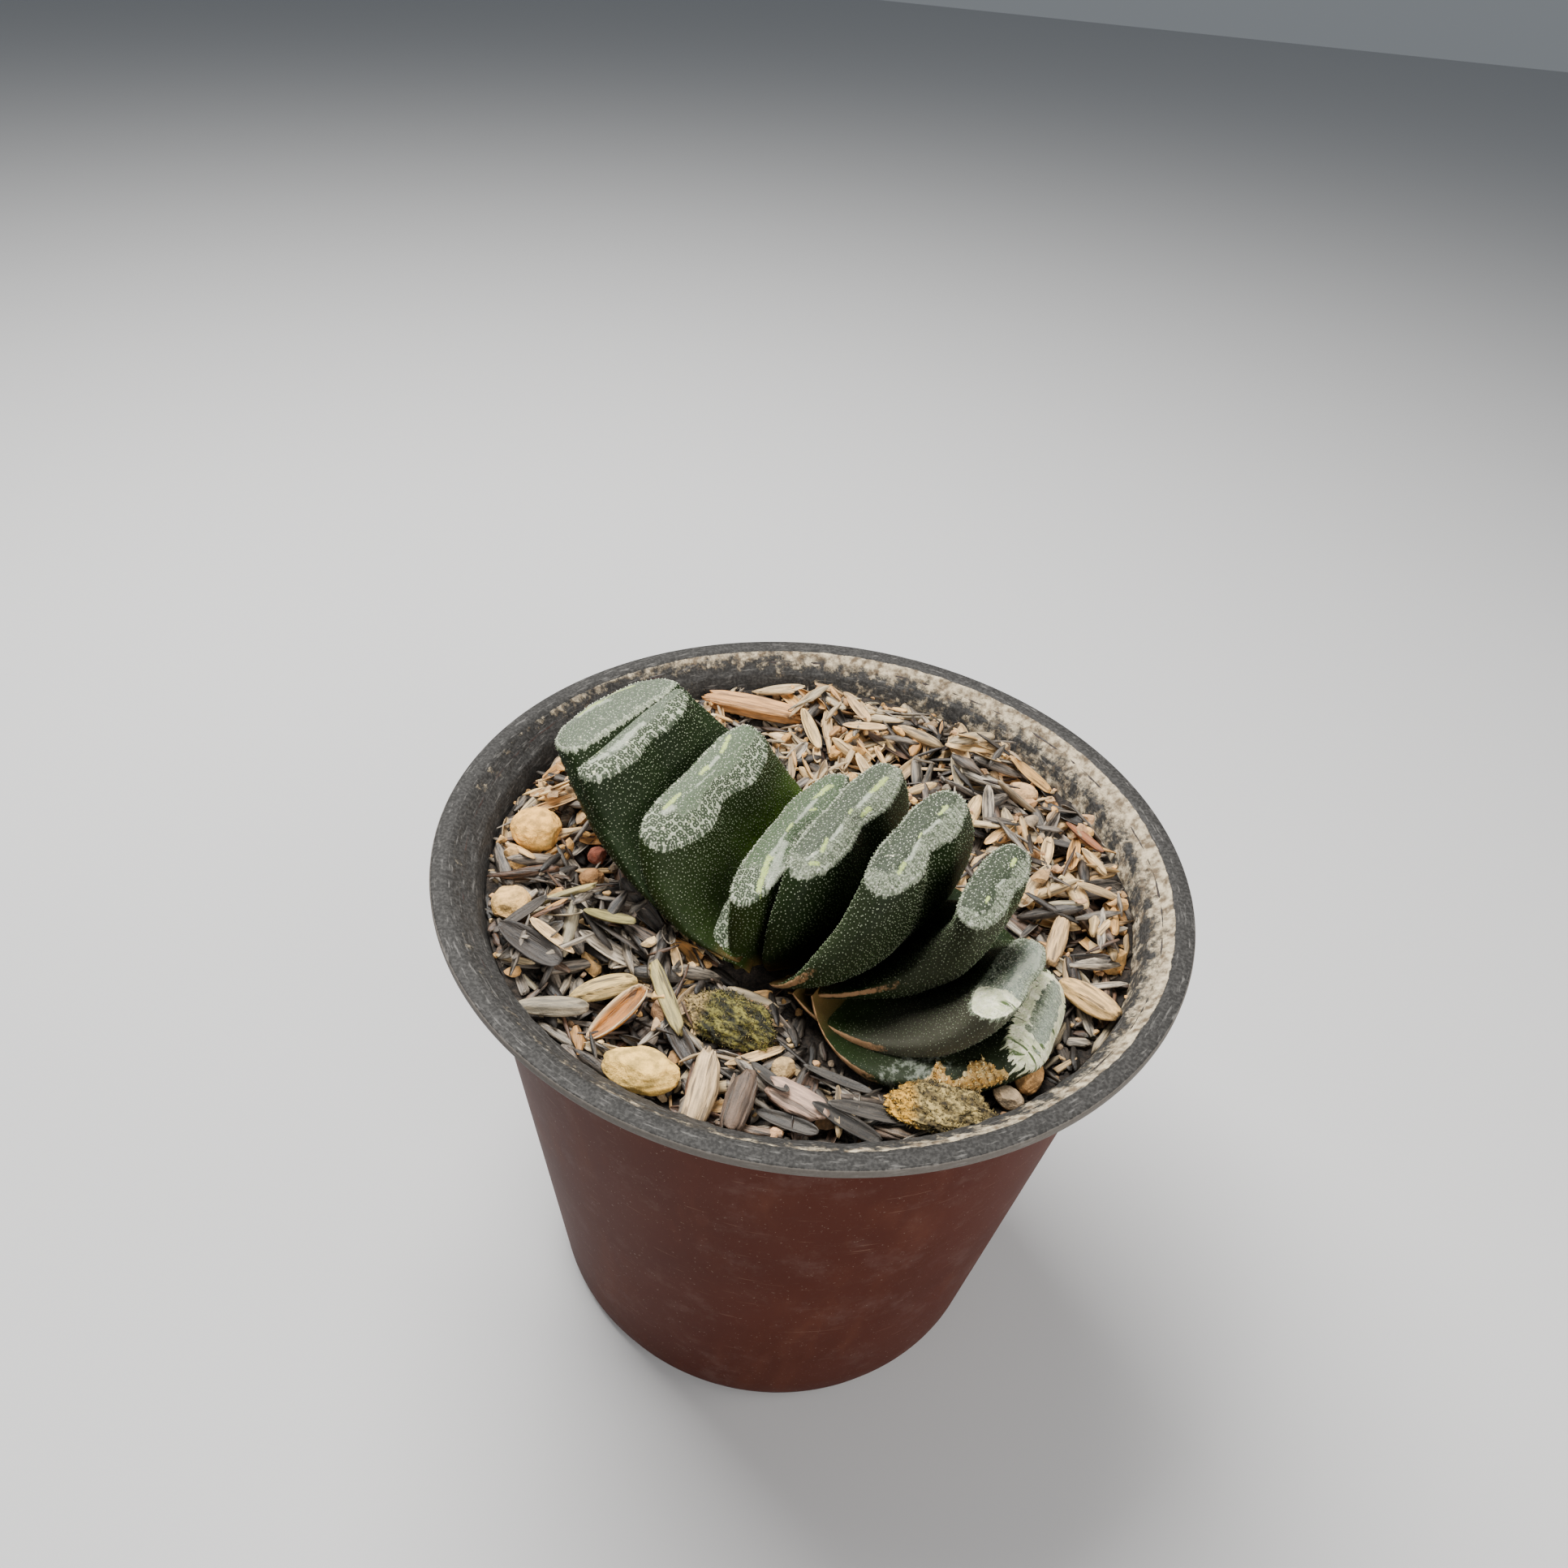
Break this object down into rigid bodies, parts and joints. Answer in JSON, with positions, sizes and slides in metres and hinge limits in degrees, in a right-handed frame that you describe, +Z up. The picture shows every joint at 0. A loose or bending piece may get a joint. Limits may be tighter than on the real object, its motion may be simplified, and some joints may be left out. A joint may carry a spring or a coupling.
{
  "type": "potted haworthia",
  "caption": "Small succulent with two ranks of thick upright leaves cut flat at the top, in a round tapered plastic nursery pot filled with charred husk and grit.",
  "frame": {"origin": "middle of the underside of the pot", "axes": "+Z up, the camera of the picture looks along +Y and down, +X to its right"},
  "size_m": [0.1, 0.1, 0.099],
  "materials": {
    "pot": "satin black-brown nursery plastic, scuffed, with lime deposits",
    "soil": "charred rice husk, grit and pebbles",
    "root": "dull pale brown",
    "leaf": "dark green flesh with pale warts and a grey-green translucent window",
    "stone": "dull tan and cream gravel",
    "husk": "dull tan rice husk",
    "chip": "weathered wood splinter",
    "moss": "yellow-green moss",
    "bark": "lichen-crusted bark"
  },
  "bodies": {
    "root": {"pot": "pot", "soil": "soil", "stem_and_roots": "root", "leaf_young": "leaf", "leaf_left_1": "leaf", "leaf_left_2": "leaf", "leaf_left_3": "leaf", "leaf_right_1": "leaf", "leaf_right_2": "leaf", "leaf_right_3": "leaf", "leaf_right_4": "leaf", "leaf_right_5": "leaf", "leaf_right_6": "leaf", "stone_front_left": "stone", "stone_left_large": "stone", "stone_left_mid": "stone", "stone_front_mid": "stone", "stone_right_rust": "stone", "stone_right_round": "stone", "stone_left_red": "stone", "stone_left_orange": "stone", "stone_back_left": "stone", "stone_back_right": "stone", "husk_open": "husk", "husk_tan": "husk", "husk_grey": "husk", "husk_right": "husk", "chip_upright": "chip", "chip_dark": "chip", "chip_back": "chip", "chip_right": "chip", "moss_clump": "moss", "bark_flake": "bark"}
  },
  "joints": []
}
